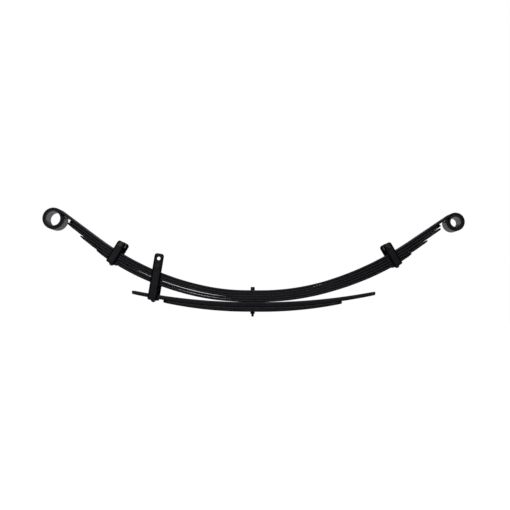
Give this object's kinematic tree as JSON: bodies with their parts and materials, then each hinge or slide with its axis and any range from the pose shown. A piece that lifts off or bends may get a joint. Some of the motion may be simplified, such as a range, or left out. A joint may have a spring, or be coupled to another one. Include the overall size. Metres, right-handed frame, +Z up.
{
  "type": "leaf spring",
  "caption": "Eyes-up multi-leaf suspension spring with two overload leaves, sleeved rolled eyes, a centre bolt, bolted rebound clips and one tall guide clip.",
  "frame": {"origin": "on the centre bolt axis, where the bolt head meets the upper face of the main leaf", "axes": "+X along the spring towards the rear eye, +Y across the leaves away from the guide clip's long leg, +Z up along the centre bolt"},
  "size_m": [1.2578, 0.0876, 0.3208],
  "materials": {
    "leaf_paint": "semi-gloss black",
    "clip_paint": "semi-gloss black",
    "centre_bolt": "semi-gloss black",
    "eye_sleeve": "satin black",
    "clip_bolts": "dull black over zinc"
  },
  "bodies": {
    "seat": {"main_leaf_centre": "leaf_paint", "second_leaf_centre": "leaf_paint", "third_leaf_centre": "leaf_paint", "fourth_leaf_centre": "leaf_paint", "fifth_leaf_centre": "leaf_paint", "upper_overload_centre": "leaf_paint", "lower_overload_centre": "leaf_paint", "centre_bolt": "centre_bolt", "centre_nut": "centre_bolt"},
    "front_main_arm": {"main_leaf_front": "leaf_paint", "second_leaf_front": "leaf_paint", "third_leaf_front": "leaf_paint", "fourth_leaf_front": "leaf_paint", "fifth_leaf_front": "leaf_paint", "front_eye_sleeve": "eye_sleeve", "front_clip_strap": "clip_paint", "front_clip_rivet": "clip_paint", "front_clip_bolt": "clip_bolts", "front_clip_nut": "clip_bolts", "front_clip_spacer": "clip_bolts"},
    "rear_main_arm": {"main_leaf_rear": "leaf_paint", "second_leaf_rear": "leaf_paint", "third_leaf_rear": "leaf_paint", "fourth_leaf_rear": "leaf_paint", "fifth_leaf_rear": "leaf_paint", "rear_eye_sleeve": "eye_sleeve", "rear_clip_strap": "clip_paint", "rear_clip_rivet": "clip_paint", "rear_clip_bolt": "clip_bolts", "rear_clip_nut": "clip_bolts", "rear_clip_spacer": "clip_bolts"},
    "front_overload_arm": {"upper_overload_front": "leaf_paint", "lower_overload_front": "leaf_paint", "guide_clip_strap": "clip_paint", "guide_clip_rivet": "clip_paint", "guide_clip_bolt": "clip_paint", "guide_clip_nut": "clip_paint"},
    "rear_overload_arm": {"upper_overload_rear": "leaf_paint", "lower_overload_rear": "leaf_paint"}
  },
  "joints": [
    {"name": "front_main_flex", "type": "hinge", "parent": "seat", "child": "front_main_arm", "pos_m": [-0.19238, 0, 0.0063], "axis": [0, -1, 0], "range_deg": [0, 15], "stiffness_Nm_per_rad": 3400},
    {"name": "rear_main_flex", "type": "hinge", "parent": "seat", "child": "rear_main_arm", "pos_m": [0.19257, 0, 0.00435], "axis": [0, 1, 0], "range_deg": [0, 15], "stiffness_Nm_per_rad": 3400},
    {"name": "front_overload_flex", "type": "hinge", "parent": "seat", "child": "front_overload_arm", "pos_m": [-0.12574, 0, -0.04562], "axis": [0, -1, 0], "range_deg": [0, 3]},
    {"name": "rear_overload_flex", "type": "hinge", "parent": "seat", "child": "rear_overload_arm", "pos_m": [0.12574, 0, -0.04562], "axis": [0, 1, 0], "range_deg": [0, 3]}
  ],
  "couplings": [
    {"joint": "front_overload_flex", "follows": "front_main_flex", "ratio": 0.18},
    {"joint": "rear_overload_flex", "follows": "rear_main_flex", "ratio": 0.18}
  ]
}
